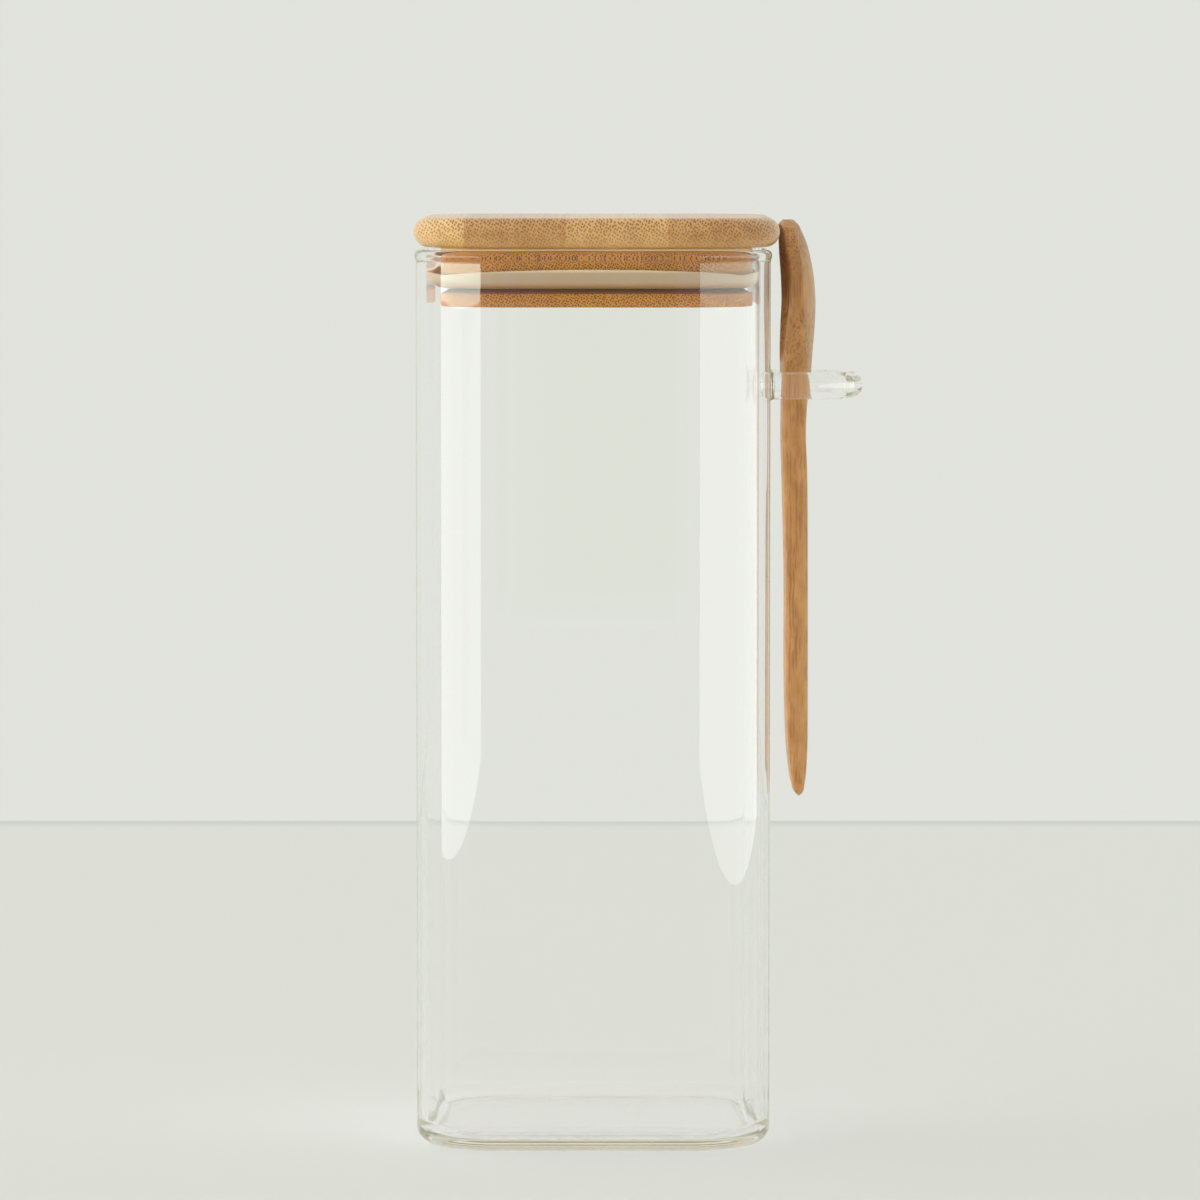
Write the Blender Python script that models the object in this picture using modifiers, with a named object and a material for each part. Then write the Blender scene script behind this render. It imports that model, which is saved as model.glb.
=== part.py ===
"""Square glass storage jar with a bamboo lid, a silicone seal and a spoon that hangs in a glass loop.

The jar stands on its flat underside at the origin. +Z is up and +X points to the loop.
Lengths are in metres and angles in radians. A name that ends in share or shares holds
plain fractions of the size that its comment names.
"""
import math

import bmesh
import bpy
import numpy as np

# Glass vessel
BODY_WIDTH = 0.100
BODY_HEIGHT = 0.253
BODY_CORNER_RADIUS = 0.023
WALL = 0.0028
HEEL_RADIUS = 0.005
RIM_HEIGHT = 0.003
RIM_FLARE = 0.0004
# How much of the rim's height flares before it stands upright again
RIM_FLARE_SHARE = 0.4
# Rounding of the fire-polished rim, as a share of the wall
RIM_ROUND_SHARE = 0.45

# Lid: a cap over two plug plies, all of bamboo board
LID_SHIFT = 0.001
RIM_CLEARANCE = 0.00075
GLUE_LINE = 0.0003
CAP_THICKNESS = 0.0084
CAP_OVERHANG = 0.0016
# Radius of the cap's round nose, as a share of its thickness
CAP_NOSE_SHARE = 0.49
PLY_THICKNESS = 0.008
PLUG_SIDE_GAP = 0.0033
PLUG_CORNER_RADIUS = 0.018
PLUG_EDGE_ROUND = 0.0005
GROOVE_DEPTH = 0.005
UPPER_LAND = 0.0072
LOWER_LAND = 0.0038
SHOULDER_WIDTH = 0.0022
SHOULDER_RISE = 0.001

# Silicone seal: a foot in the groove and a lip that cups up against the glass
SEAL_CLEARANCE = 0.0003
SEAL_FOOT = 0.0026
SEAL_LIP = 0.0011
LIP_BOW = 0.0016
# How far out the lip leaves the foot's level, as a share of the seal's reach
LIP_START_SHARE = 0.36
# Height where the lip turns upright, as a share of the groove's height
LIP_TURN_SHARE = 1.05
# Height of the lip's top edge, as a share of the groove's height
LIP_TOP_SHARE = 1.35

# Glass loop: a rod bent into a U and welded to the vessel's wall
ROD_DIAMETER = 0.0077
# How far the rod's centre lies below the rim
LOOP_DROP = 0.039
LOOP_REACH = 0.027
HANDLE_PLAY = 0.00115
WELD_CLEARANCE = 0.0003
WELD_LENGTH = 0.003
# Rod radii at the weld and half way along it, as shares of the plain rod's radius
WELD_FLARE_SHARES = (1.34, 1.08)

# Bamboo spoon, bowl up, with its hollow towards the jar
SPOON_LENGTH = 0.165
BOWL_WIDTH = 0.032
HANDLE_WIDTH = 0.011
SPOON_DEPTH = 0.0101
HOLLOW_DEPTH = 0.0058
HOLLOW_LAND = 0.0014
SPOON_EDGE_ROUND = 0.0012
SPOON_CLEARANCE = 0.0003
SEAT_CLEARANCE = 0.0003
SPOON_TURN = math.radians(3.0)

# The spoon's shape, from the handle's end to the bowl's tip. Each row holds the place as a
# share of the length, the front face, the side's back edge and the crown of the back, all
# as shares of the depth, and the width as a share of the handle's width.
HANDLE_SHARES = (
    (0.000, 0.545, 0.560, 0.575, 0.15),
    (0.004, 0.470, 0.600, 0.640, 0.48),
    (0.022, 0.360, 0.670, 0.720, 0.84),
    (0.051, 0.280, 0.720, 0.770, 0.97),
    (0.090, 0.215, 0.750, 0.797, 1.00),
    (0.138, 0.178, 0.755, 0.802, 1.00),
    (0.230, 0.149, 0.755, 0.802, 0.98),
    (0.380, 0.145, 0.750, 0.797, 0.93),
    (0.480, 0.108, 0.745, 0.792, 0.89),
    (0.575, 0.064, 0.725, 0.772, 0.85),
    (0.625, 0.042, 0.690, 0.735, 0.84),
    (0.672, 0.050, 0.705, 0.765, 0.88),
)
# The same columns along the bowl, with the width as a share of the bowl's width
BOWL_SHARES = (
    (0.708, 0.050, 0.722, 0.830, 0.330),
    (0.736, 0.050, 0.722, 0.880, 0.456),
    (0.775, 0.062, 0.670, 0.925, 0.642),
    (0.815, 0.105, 0.600, 0.980, 0.835),
    (0.863, 0.155, 0.545, 1.000, 0.985),
    (0.890, 0.145, 0.530, 0.970, 1.000),
    (0.917, 0.112, 0.510, 0.910, 0.960),
    (0.943, 0.068, 0.465, 0.822, 0.850),
    (0.959, 0.042, 0.420, 0.752, 0.745),
    (0.979, 0.018, 0.345, 0.614, 0.550),
    (0.993, 0.006, 0.290, 0.490, 0.370),
    (1.000, 0.080, 0.250, 0.360, 0.150),
)
# Where the hollow starts and ends, as shares of the length
HOLLOW_SPAN_SHARES = (0.755, 0.985)
# How square the hollow is across and along: 0.5 is an ellipse and 1 a parabola
HOLLOW_FORM_SHARE = 0.72

# Steps round the curves
CORNER_STEPS = 10
HEEL_STEPS = 6
RIM_STEPS = 4
NOSE_STEPS = 8
PLUG_EDGE_STEPS = 2
SEAL_CORNER_STEPS = 8
SEAL_SIDE_STEPS = 8
LIP_STEPS = 6
BEND_STEPS = 20
ROD_RESOLUTION = 6
HANDLE_STEPS = 18
BOWL_STEPS = 26
SECTION_STEPS = 7
EDGE_STEPS = 3
SMOOTH_ANGLE = math.radians(32)
BEVEL_ANGLE = math.radians(55)

# Sizes that follow from those above
BODY_HALF = BODY_WIDTH / 2
INNER_HALF = BODY_HALF - WALL
INNER_CORNER = BODY_CORNER_RADIUS - WALL
CAP_WIDTH = BODY_WIDTH + 2 * CAP_OVERHANG
CAP_CORNER = BODY_CORNER_RADIUS + CAP_OVERHANG
CAP_BASE = BODY_HEIGHT + RIM_CLEARANCE
PLUG_HALF = INNER_HALF - PLUG_SIDE_GAP
UPPER_PLY_BASE = CAP_BASE - GLUE_LINE - PLY_THICKNESS
LOWER_PLY_BASE = UPPER_PLY_BASE - GLUE_LINE - PLY_THICKNESS
GROOVE_FLOOR = LOWER_PLY_BASE + LOWER_LAND + SHOULDER_RISE
GROOVE_HEIGHT = UPPER_PLY_BASE + PLY_THICKNESS - UPPER_LAND - GROOVE_FLOOR
ROD_RADIUS = ROD_DIAMETER / 2
LOOP_HEIGHT = BODY_HEIGHT - LOOP_DROP
BEND_RADIUS = HANDLE_WIDTH / 2 + HANDLE_PLAY + ROD_RADIUS
BEND_CENTRE = BODY_HALF + LOOP_REACH - ROD_RADIUS - BEND_RADIUS
LID_NOSE = BODY_HALF + CAP_OVERHANG + LID_SHIFT


def clear_scene():
    for item in list(bpy.data.objects):
        bpy.data.objects.remove(item, do_unlink=True)


def principled(name, color, roughness, transmission=0.0, ior=1.5):
    """A Principled material, with its colour given in sRGB from 0 to 1."""
    material = bpy.data.materials.new(name)
    material.use_nodes = True
    shader = material.node_tree.nodes["Principled BSDF"]
    linear = [((value + 0.055) / 1.055) ** 2.4 for value in color]
    shader.inputs["Base Color"].default_value = (*linear, 1.0)
    shader.inputs["Roughness"].default_value = roughness
    shader.inputs["Metallic"].default_value = 0.0
    shader.inputs["Transmission Weight"].default_value = transmission
    shader.inputs["IOR"].default_value = ior
    return material


def finish(name, mesh, collection, material):
    """Put a mesh into the collection as a smooth-shaded object."""
    mesh.materials.append(material)
    mesh.shade_smooth()
    mesh.set_sharp_from_angle(angle=SMOOTH_ANGLE)
    item = bpy.data.objects.new(name, mesh)
    collection.objects.link(item)
    return item


def rounded_block(width, base, height, corner_radius):
    """A square block with round upright corners, as a bmesh that stands on base."""
    shape = bmesh.new()
    bmesh.ops.create_cube(shape, size=1.0)
    bmesh.ops.scale(shape, vec=(width, width, height), verts=shape.verts)
    bmesh.ops.translate(shape, vec=(0, 0, base + height / 2), verts=shape.verts)
    uprights = [
        edge for edge in shape.edges
        if edge.verts[0].co.xy == edge.verts[1].co.xy
    ]
    bmesh.ops.bevel(
        shape, geom=uprights, offset=corner_radius, segments=CORNER_STEPS,
        profile=0.5, affect="EDGES",
    )
    return shape


def level_face(shape, side):
    """The block's flat top face for side 1, or its flat underside for side -1."""
    return max(shape.faces, key=lambda face: side * face.calc_center_median().z)


def to_mesh(shape, name):
    mesh = bpy.data.meshes.new(name)
    bmesh.ops.recalc_face_normals(shape, faces=shape.faces)
    shape.to_mesh(mesh)
    shape.free()
    return mesh


def add_bevel(item, width, segments):
    """Round the sharp edges, and leave the shallow ones between a corner's facets."""
    bevel = item.modifiers.new("edge_round", "BEVEL")
    bevel.limit_method = "ANGLE"
    bevel.angle_limit = BEVEL_ANGLE
    bevel.width = width
    bevel.segments = segments


def raise_mouth(skin, rise, spread):
    """Draw the open mouth's edge upwards, spread about the jar's axis."""
    mouth = [edge for edge in skin.edges if edge.is_boundary]
    made = bmesh.ops.extrude_edge_only(skin, edges=mouth)["geom"]
    lip = [part for part in made if isinstance(part, bmesh.types.BMVert)]
    bmesh.ops.scale(skin, vec=(spread, spread, 1), verts=lip)
    bmesh.ops.translate(skin, vec=(0, 0, rise), verts=lip)


def build_body(collection, material):
    """The vessel: an open outer skin with a round heel and a flared rim, given its wall inwards."""
    skin = rounded_block(BODY_WIDTH, 0, BODY_HEIGHT - RIM_HEIGHT, BODY_CORNER_RADIUS)
    underside_edges = list(level_face(skin, -1).edges)
    bmesh.ops.bevel(
        skin, geom=underside_edges, offset=HEEL_RADIUS, segments=HEEL_STEPS,
        profile=0.5, affect="EDGES",
    )
    bmesh.ops.delete(skin, geom=[level_face(skin, 1)], context="FACES_ONLY")
    flare_height = RIM_HEIGHT * RIM_FLARE_SHARE
    raise_mouth(skin, flare_height, 1 + RIM_FLARE / BODY_HALF)
    raise_mouth(skin, RIM_HEIGHT - flare_height, 1)
    body = finish("jar_body", to_mesh(skin, "jar_body"), collection, material)
    wall = body.modifiers.new("wall", "SOLIDIFY")
    wall.thickness = WALL
    wall.offset = -1
    wall.use_even_offset = True
    add_bevel(body, WALL * RIM_ROUND_SHARE, RIM_STEPS)
    return body


def build_cap(collection, material, axis):
    """The cap: a board whose whole edge is turned to a round nose."""
    board = rounded_block(CAP_WIDTH, CAP_BASE - axis.location.z, CAP_THICKNESS, CAP_CORNER)
    cap = finish("lid_cap", to_mesh(board, "lid_cap"), collection, material)
    add_bevel(cap, CAP_THICKNESS * CAP_NOSE_SHARE, NOSE_STEPS)
    cap.parent = axis
    return cap


def build_ply(name, side, base, land, collection, material, axis):
    """A plug ply: a land of full width and a waist that makes half of the seal's groove.

    Side is -1 where the waist hangs below the land, as on the upper ply, and 1 where it
    stands on the land. The lower ply's land has a sloping shoulder.
    """
    lower = side > 0
    rise = SHOULDER_RISE if lower else 0
    land_base = base if lower else base + PLY_THICKNESS - land
    block = rounded_block(2 * PLUG_HALF, land_base - axis.location.z, land, PLUG_CORNER_RADIUS)
    seat = level_face(block, side)
    if lower:
        bmesh.ops.inset_individual(
            block, faces=[seat], thickness=SHOULDER_WIDTH, depth=SHOULDER_RISE,
            use_even_offset=True,
        )
    shoulder = SHOULDER_WIDTH if lower else 0
    bmesh.ops.inset_individual(
        block, faces=[seat], thickness=GROOVE_DEPTH - shoulder, depth=0, use_even_offset=True,
    )
    waist = bmesh.ops.extrude_discrete_faces(block, faces=[seat])["faces"][0]
    bmesh.ops.translate(
        block, vec=(0, 0, side * (PLY_THICKNESS - land - rise)), verts=waist.verts,
    )
    ply = finish(name, to_mesh(block, name), collection, material)
    add_bevel(ply, PLUG_EDGE_ROUND, PLUG_EDGE_STEPS)
    ply.parent = axis
    return ply


def rounded_square_points(half, radius, centre_x, corner_steps, side_steps):
    """Points round a square with round corners, counter-clockwise from the +X side's foot.

    Each corner is a quarter circle and each side is a straight run cut into equal steps.
    """
    reach = half - radius
    turn = np.linspace(0, math.pi / 2, corner_steps + 1)
    run = np.linspace(-reach, reach, side_steps + 1)[1:-1]
    side = np.stack([np.full_like(run, half), run], axis=1)
    corner = reach + radius * np.stack([np.cos(turn), np.sin(turn)], axis=1)
    quarter = np.concatenate([side, corner])
    points = []
    for count in range(4):
        cosine, sine = round(math.cos(count * math.pi / 2)), round(math.sin(count * math.pi / 2))
        points.append(quarter @ np.array([[cosine, sine], [-sine, cosine]]))
    points = np.concatenate(points)
    points[:, 0] += centre_x
    return points


def seal_section():
    """The seal's section as rows of (distance out from the foot's back, height over the groove's floor).

    The foot is a band that stands in the groove. The lip leaves its lower edge, turns up
    along a quarter ellipse to the glass and comes back as a second ellipse inside the first.
    """
    reach = INNER_HALF - SEAL_CLEARANCE - (PLUG_HALF - GROOVE_DEPTH + SEAL_CLEARANCE)
    foot_top = GROOVE_HEIGHT - SEAL_CLEARANCE
    start = reach * LIP_START_SHARE
    turn_height = GROOVE_HEIGHT * LIP_TURN_SHARE
    top = GROOVE_HEIGHT * LIP_TOP_SHARE
    angle = np.linspace(0, math.pi / 2, LIP_STEPS + 1)
    outer = np.stack([
        start + (reach - start) * np.sin(angle),
        turn_height - (turn_height - SEAL_CLEARANCE) * np.cos(angle),
    ], axis=1)
    floor = SEAL_CLEARANCE + SEAL_LIP
    inner = np.stack([
        start + (reach - SEAL_LIP - start) * np.sin(angle),
        turn_height - (turn_height - floor) * np.cos(angle),
    ], axis=1)[::-1]
    tip_round = SEAL_LIP / 2
    edge = [
        (reach, top - tip_round),
        (reach - tip_round, top),
        (reach - SEAL_LIP, top - tip_round),
    ]
    foot = [(SEAL_FOOT, floor), (SEAL_FOOT, foot_top), (0, foot_top), (0, SEAL_CLEARANCE)]
    return np.concatenate([outer, edge, inner, foot]), reach, floor, top


def build_seal(collection, material, axis):
    """The seal: its section carried round the plug, with the foot centred on the plug and
    the lip on the glass. The lip's top edge rises from the corners to the middle of each side."""
    section, reach, floor, top = seal_section()
    foot_half = PLUG_HALF - GROOVE_DEPTH + SEAL_CLEARANCE
    foot_corner = PLUG_CORNER_RADIUS - GROOVE_DEPTH + SEAL_CLEARANCE
    lip_corner = INNER_CORNER - SEAL_CLEARANCE
    rings = []
    for out, height in section:
        follow = np.clip((out - SEAL_FOOT) / (reach - SEAL_LIP - SEAL_FOOT), 0, 1)
        centre = -LID_SHIFT * follow
        corner = foot_corner + (lip_corner - foot_corner) * out / reach
        flat = rounded_square_points(
            foot_half + out, corner, centre, SEAL_CORNER_STEPS, SEAL_SIDE_STEPS,
        )
        spread = np.abs(flat - (centre, 0))
        towards_corner = (spread.min(axis=1) / spread.max(axis=1)) ** 2
        lift = follow * max(0, (height - floor) / (top - floor))
        level = GROOVE_FLOOR - axis.location.z + height - LIP_BOW * lift * towards_corner
        rings.append(np.column_stack([flat, level]))
    mesh = skin_rings("seal_ring", rings, closed=True)
    seal = finish("seal_ring", mesh, collection, material)
    seal.parent = axis
    return seal


def skin_rings(name, rings, closed):
    """Faces between successive rings of points, closed on itself or with a face at each end."""
    shape = bmesh.new()
    loops = [[shape.verts.new(point) for point in ring] for ring in rings]
    pairs = list(zip(loops, loops[1:]))
    if closed:
        pairs.append((loops[-1], loops[0]))
    for first, second in pairs:
        for index in range(len(first)):
            following = (index + 1) % len(first)
            shape.faces.new((first[index], first[following], second[following], second[index]))
    if not closed:
        shape.faces.new(loops[0][::-1])
        shape.faces.new(loops[-1])
    return to_mesh(shape, name)


def build_loop(collection, material):
    """The loop: a straight leg out, a half circle and a straight leg back, flared at the welds."""
    start = BODY_HALF + WELD_CLEARANCE
    wide, mid = WELD_FLARE_SHARES
    leg = [(start, wide), (start + WELD_LENGTH / 2, mid), (start + WELD_LENGTH, 1.0)]
    angles = np.linspace(-math.pi / 2, math.pi / 2, BEND_STEPS + 1)
    rod = [(x, -BEND_RADIUS, radius) for x, radius in leg]
    rod += [
        (BEND_CENTRE + BEND_RADIUS * math.cos(angle), BEND_RADIUS * math.sin(angle), 1.0)
        for angle in angles
    ]
    rod += [(x, BEND_RADIUS, radius) for x, radius in reversed(leg)]
    curve = bpy.data.curves.new("spoon_loop", "CURVE")
    curve.dimensions = "3D"
    curve.bevel_depth = ROD_RADIUS
    curve.bevel_resolution = ROD_RESOLUTION
    curve.use_fill_caps = True
    spline = curve.splines.new("POLY")
    spline.points.add(len(rod) - 1)
    for point, (x, y, radius) in zip(spline.points, rod):
        point.co = (x, y, 0, 1)
        point.radius = radius
    spline.use_smooth = True
    curve.materials.append(material)
    loop = bpy.data.objects.new("spoon_loop", curve)
    loop.location.z = LOOP_HEIGHT
    collection.objects.link(loop)
    return loop


def through(rows, places):
    """Values at the places on smooth cubic curves through the rows, one curve for each column."""
    table = np.array(rows)
    known, values = table[:, 0], table[:, 1:]
    slopes = np.gradient(values, known, axis=0)
    index = np.clip(np.searchsorted(known, places) - 1, 0, len(known) - 2)
    gap = (known[index + 1] - known[index])[:, None]
    part = ((places - known[index])[:, None]) / gap
    return (
        (2 * part ** 3 - 3 * part ** 2 + 1) * values[index]
        + (part ** 3 - 2 * part ** 2 + part) * gap * slopes[index]
        + (3 * part ** 2 - 2 * part ** 3) * values[index + 1]
        + (part ** 3 - part ** 2) * gap * slopes[index + 1]
    )


def spoon_outline():
    """Stations along the spoon as rows of (height, front, side, crown, half width, hollow), in metres.

    The stations lie closer together towards the two ends, where the outline turns fastest.
    """
    handle = [(*row[:4], row[4] * HANDLE_WIDTH) for row in HANDLE_SHARES]
    bowl = [(*row[:4], row[4] * BOWL_WIDTH) for row in BOWL_SHARES]
    neck = (HANDLE_SHARES[-1][0] + BOWL_SHARES[0][0]) / 2
    tail = neck * (1 - np.cos(np.linspace(0, math.pi / 2, HANDLE_STEPS, endpoint=False)))
    head = neck + (1 - neck) * np.sin(np.linspace(0, math.pi / 2, BOWL_STEPS + 1))
    places = np.concatenate([tail, head])
    values = through(handle + bowl, places)
    first, last = HOLLOW_SPAN_SHARES
    middle, half_span = (first + last) / 2, (last - first) / 2
    along = np.clip(1 - ((places - middle) / half_span) ** 2, 0, 1)
    return np.column_stack([
        places * SPOON_LENGTH,
        values[:, :3] * SPOON_DEPTH,
        np.maximum(values[:, 3], 0) / 2,
        HOLLOW_DEPTH * along ** HOLLOW_FORM_SHARE,
    ])


def seat_on_loop(outline):
    """How high the handle's end hangs when the neck's flare comes to rest on the two rods.

    Each point of the flare has to stay outside a circle round the rod, wider than the rod
    by the seat's clearance. The spoon's turn swings its edges towards the rods. The point
    that needs the most room sets the height.
    """
    reach = ROD_RADIUS + SEAT_CLEARANCE
    swing = SPOON_DEPTH / 2 * math.sin(SPOON_TURN)
    fine = np.linspace(0, SPOON_LENGTH, 40 * (HANDLE_STEPS + BOWL_STEPS))
    half_width = np.interp(fine, outline[:, 0], outline[:, 4]) + swing
    flare = (fine > SPOON_LENGTH / 2) & (half_width > BEND_RADIUS - reach)
    aside = np.clip(BEND_RADIUS - half_width[flare], 0, reach)
    needed = LOOP_HEIGHT + np.sqrt(reach ** 2 - aside ** 2) - fine[flare]
    return needed.max()


def stand_off(outline):
    """How far the spoon's middle plane stands from the jar's axis.

    The turn swings the edge of the front face towards the lid by half the width times the
    sine of the turn, and the edge that comes nearest keeps the clearance from the lid's nose.
    """
    before = (SPOON_DEPTH / 2 - outline[:, 1]) * math.cos(SPOON_TURN)
    aside = outline[:, 4] * math.sin(SPOON_TURN)
    return LID_NOSE + SPOON_CLEARANCE + (before + aside).max()


def spoon_section(front, side, crown, half_width, hollow):
    """One level section of the spoon, counter-clockwise from above, as rows of (x, y).

    The back is a parabola between the two side edges, the sides are flat, the front edges
    are quarter circles, and the hollow dips between the lands as a rounded trough.
    """
    edge = min(SPOON_EDGE_ROUND, half_width / 2, (side - front) / 2)
    land = min(HOLLOW_LAND, half_width / 2)
    steps = np.linspace(-1, 1, 2 * SECTION_STEPS + 1)
    back = np.column_stack([side + (crown - side) * (1 - steps ** 2), half_width * steps])
    turn = np.linspace(0, math.pi / 2, EDGE_STEPS + 1)
    left = np.column_stack([
        front + edge * (1 - np.sin(turn)),
        half_width - edge * (1 - np.cos(turn)),
    ])
    inner = max(half_width - land - edge / 2, 0)
    trough = np.sin(steps[::-1] * math.pi / 2)
    dish = np.column_stack([
        front + hollow * (1 - trough ** 2) ** HOLLOW_FORM_SHARE,
        inner * trough,
    ])
    right = left[::-1] * (1, -1)
    return np.concatenate([back, left, dish, right])


def build_spoon(collection, material):
    """The spoon: level sections lofted from the handle's end to the bowl's tip."""
    outline = spoon_outline()
    hang = seat_on_loop(outline)
    rings = []
    for height, *sizes in outline:
        flat = spoon_section(*sizes)
        level = np.full(len(flat), hang - LOOP_HEIGHT + height)
        rings.append(np.column_stack([flat - (SPOON_DEPTH / 2, 0), level]))
    spoon = finish("spoon", skin_rings("spoon", rings, closed=False), collection, material)
    spoon.location = (stand_off(outline), 0, LOOP_HEIGHT)
    spoon.rotation_euler.z = SPOON_TURN
    return spoon


def build():
    clear_scene()
    collection = bpy.data.collections.new("storage_jar")
    bpy.context.scene.collection.children.link(collection)
    glass = principled("borosilicate_glass", (0.96, 0.98, 0.96), 0.03, 1.0, 1.47)
    rod_glass = principled("borosilicate_rod", (0.96, 0.98, 0.97), 0.03, 1.0, 1.47)
    cap_bamboo = principled("cap_bamboo", (0.81, 0.66, 0.45), 0.5)
    upper_bamboo = principled("upper_ply_bamboo", (0.74, 0.56, 0.38), 0.5)
    lower_bamboo = principled("lower_ply_bamboo", (0.76, 0.58, 0.39), 0.5)
    spoon_bamboo = principled("spoon_bamboo", (0.74, 0.52, 0.32), 0.45)
    silicone = principled("seal_silicone", (0.82, 0.75, 0.66), 0.4, 0.3, 1.41)

    build_body(collection, glass)
    build_loop(collection, rod_glass)

    lid_axis = bpy.data.objects.new("lid_axis", None)
    lid_axis.location = (LID_SHIFT, 0, CAP_BASE)
    collection.objects.link(lid_axis)
    build_cap(collection, cap_bamboo, lid_axis)
    build_ply("plug_upper", -1, UPPER_PLY_BASE, UPPER_LAND, collection, upper_bamboo, lid_axis)
    build_ply("plug_lower", 1, LOWER_PLY_BASE, LOWER_LAND, collection, lower_bamboo, lid_axis)
    build_seal(collection, silicone, lid_axis)

    build_spoon(collection, spoon_bamboo)
    bpy.context.view_layer.update()


build()
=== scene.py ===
import math

import bpy
import numpy as np
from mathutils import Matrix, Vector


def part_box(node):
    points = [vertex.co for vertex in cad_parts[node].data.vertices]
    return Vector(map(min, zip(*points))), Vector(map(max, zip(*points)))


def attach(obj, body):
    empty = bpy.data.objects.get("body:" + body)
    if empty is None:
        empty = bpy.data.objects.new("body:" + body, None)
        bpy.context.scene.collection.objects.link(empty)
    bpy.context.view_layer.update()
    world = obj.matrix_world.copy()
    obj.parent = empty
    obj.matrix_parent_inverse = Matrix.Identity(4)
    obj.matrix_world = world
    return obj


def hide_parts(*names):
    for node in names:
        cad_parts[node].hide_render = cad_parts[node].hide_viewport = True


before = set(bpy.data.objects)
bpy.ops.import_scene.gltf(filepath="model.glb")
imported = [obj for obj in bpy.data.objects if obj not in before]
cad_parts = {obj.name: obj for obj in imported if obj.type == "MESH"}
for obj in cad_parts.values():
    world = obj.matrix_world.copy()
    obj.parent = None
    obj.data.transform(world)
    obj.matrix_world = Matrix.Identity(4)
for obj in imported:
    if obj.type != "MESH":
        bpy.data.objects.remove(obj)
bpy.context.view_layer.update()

# A square glass storage jar with a bamboo plug lid, a silicone seal and a bamboo spoon that hangs
# in a glass loop. Lengths are in metres, +Z is up, the camera looks along +Y and the loop is on
# the +X side.

quarterTurn = math.pi / 2
sharpAngle = math.radians(38)  # edges that turn by more than this stay sharp
print("frame: loaded", sorted(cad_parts))


def hexColor(code):
    # sRGB to linear: c / 12.92 up to 0.04045, and ((c + 0.055) / 1.055) ** 2.4 above it
    channels = np.array([int(code[i:i + 2], 16) for i in (0, 2, 4)]) / 255
    linear = np.where(channels <= 0.04045, channels / 12.92, ((channels + 0.055) / 1.055) ** 2.4)
    return (*linear.tolist(), 1.0)


def addNode(tree, kind, inputs=None, **settings):
    # one node with its settings, where an input given as a socket is linked and any other is set
    node = tree.nodes.new(kind)
    for name, value in settings.items():
        setattr(node, name, value)
    for key, value in (inputs or {}).items():
        if isinstance(value, bpy.types.NodeSocket):
            tree.links.new(value, node.inputs[key])
        else:
            node.inputs[key].default_value = value
    return node


def newMaterial(name):
    # a material with an empty node tree and its output node
    material = bpy.data.materials.new(name)
    material.use_nodes = True
    tree = material.node_tree
    tree.nodes.clear()
    return material, tree, addNode(tree, "ShaderNodeOutputMaterial")


def signedVolume(points, triangles):
    # a sixth of the sum of a . (b x c) over the triangles, positive when they face outwards
    a, b, c = (points[triangles[:, k]] for k in range(3))
    return float(np.einsum("ij,ij->i", a, np.cross(b, c)).sum()) / 6


def gridMesh(name, grid, closed=False):
    # grid[i, j] is the point at step i of the profile and step j round the ring. Quads join the
    # neighbours, each ring closes on itself, and the profile closes too or ends in two fans.
    rows, columns = grid.shape[:2]
    points = grid.reshape(-1, 3)
    index = np.arange(rows * columns).reshape(rows, columns)
    following = np.roll(index, -1, axis=1)
    if closed:
        below, above = index, np.roll(index, -1, axis=0)
        belowNext, aboveNext = following, np.roll(following, -1, axis=0)
    else:
        below, above = index[:-1], index[1:]
        belowNext, aboveNext = following[:-1], following[1:]
    quads = np.stack([below, belowNext, aboveNext, above], axis=-1).reshape(-1, 4)
    fans = np.zeros((0, 3), int)
    if not closed:
        centres = np.stack([grid[0].mean(axis=0), grid[-1].mean(axis=0)])
        first, last = len(points), len(points) + 1
        points = np.concatenate([points, centres])
        start = np.stack([following[0], index[0], np.full(columns, first)], axis=-1)
        end = np.stack([index[-1], following[-1], np.full(columns, last)], axis=-1)
        fans = np.concatenate([start, end])
    triangles = np.concatenate([quads[:, [0, 1, 2]], quads[:, [0, 2, 3]], fans])
    if signedVolume(points, triangles) < 0:
        quads, fans = quads[:, ::-1], fans[:, ::-1]
    mesh = bpy.data.meshes.new(name)
    mesh.from_pydata(points.tolist(), [], quads.tolist() + fans.tolist())
    mesh.update()
    return mesh


def addPiece(name, mesh, material, body, replaced):
    # a finished piece: smooth, at the origin, riding on its body in place of its CAD nodes
    mesh.name = name
    mesh.materials.clear()
    mesh.materials.append(material)
    mesh.shade_smooth()
    mesh.set_sharp_from_angle(angle=sharpAngle)
    piece = bpy.data.objects.new(name, mesh)
    bpy.context.scene.collection.objects.link(piece)
    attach(piece, body)
    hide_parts(*replaced)
    print("piece:", name, len(mesh.polygons), "faces")
    return piece


def squareRing(cornerSteps, sideSteps):
    # A square with round corners as two sets of shares: each point is (half - radius) * place +
    # radius * way, where place is the corner's centre or slides along a side, and way turns
    # through a quarter circle at each corner.
    slide = np.linspace(-1, 1, sideSteps, endpoint=False)
    turn = np.linspace(0, quarterTurn, cornerSteps, endpoint=False)
    place = np.concatenate([
        np.stack([np.ones_like(slide), slide], axis=1),
        np.ones((cornerSteps, 2)),
    ])
    way = np.concatenate([
        np.tile([1.0, 0.0], (sideSteps, 1)),
        np.stack([np.cos(turn), np.sin(turn)], axis=1),
    ])
    turns = [np.linalg.matrix_power(np.array([[0, 1], [-1, 0]]), k) for k in range(4)]
    return (
        np.concatenate([place @ turned for turned in turns]),
        np.concatenate([way @ turned for turned in turns]),
    )


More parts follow.
